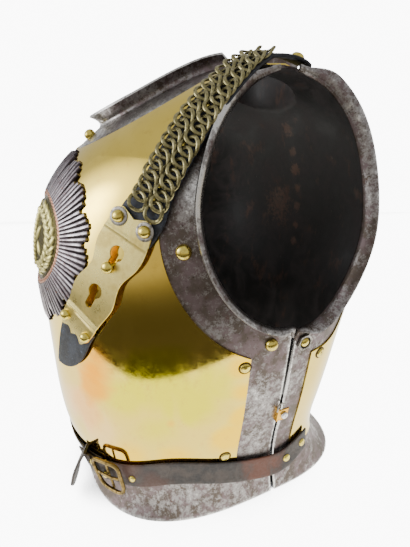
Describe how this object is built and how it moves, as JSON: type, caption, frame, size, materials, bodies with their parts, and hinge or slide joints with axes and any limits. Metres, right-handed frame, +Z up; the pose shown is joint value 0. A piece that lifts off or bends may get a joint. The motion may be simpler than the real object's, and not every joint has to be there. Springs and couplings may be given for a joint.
{
  "type": "cuirass",
  "caption": "Body armour of a steel breastplate and backplate faced with brass, with scaled shoulder chains, a rayed breast star and a waist belt.",
  "frame": {"origin": "centre of the bounding box at the height of the bottom rim, which it stands on", "axes": "+Z up the wearer's body, -Y out of the wearer's chest, +X to the wearer's left arm"},
  "size_m": [0.3686, 0.3488, 0.4711],
  "materials": {
    "steel": "worn bare steel with dark pitting",
    "brass": "polished rolled brass with light tarnish",
    "chain": "dull pale brass wire",
    "silver": "struck silvered metal, slightly tarnished",
    "strap_leather": "dark blue-grey leather, creased",
    "belt_leather": "worn dark leather, rusty brown at one end"
  },
  "bodies": {
    "root": {"breastplate": "steel", "backplate": "steel", "breast_facing": "brass", "back_facing": "brass", "shoulder_strap_left": "strap_leather", "shoulder_strap_right": "strap_leather", "strap_tongue_left": "strap_leather", "strap_tongue_right": "strap_leather", "chain_inner_left": "chain", "chain_inner_right": "chain", "chain_outer_left": "chain", "chain_outer_right": "chain", "end_plate_left": "brass", "end_plate_right": "brass", "strap_stud_left": "brass", "strap_stud_right": "brass", "collar_stud": "brass", "belt_buckle": "brass", "rivet_ear_inner_left": "brass", "rivet_ear_inner_right": "brass", "rivet_ear_outer_left": "brass", "rivet_ear_outer_right": "brass", "rivet_tail_inner_left": "brass", "rivet_tail_inner_right": "brass", "rivet_tail_outer_left": "brass", "rivet_tail_outer_right": "brass", "rivet_strap_back_left": "brass", "rivet_strap_back_right": "brass", "rivet_breast_hole_left": "brass", "rivet_breast_hole_right": "brass", "rivet_breast_side_left": "brass", "rivet_breast_side_right": "brass", "rivet_breast_strip_left": "brass", "rivet_breast_strip_right": "brass", "rivet_breast_waist_left": "brass", "rivet_breast_waist_right": "brass", "rivet_back_hole_left": "brass", "rivet_back_hole_right": "brass", "rivet_back_strip_left": "brass", "rivet_back_strip_right": "brass", "rivet_belt_front_left": "brass", "rivet_belt_front_right": "brass", "rivet_belt_rear_left": "brass", "rivet_belt_rear_right": "brass", "side_clip_left": "brass", "side_clip_right": "brass", "clip_screw_left": "brass", "clip_screw_right": "brass", "star_rays": "silver", "star_medallion": "brass", "belt_left": "belt_leather", "belt_right": "belt_leather"}
  },
  "joints": []
}
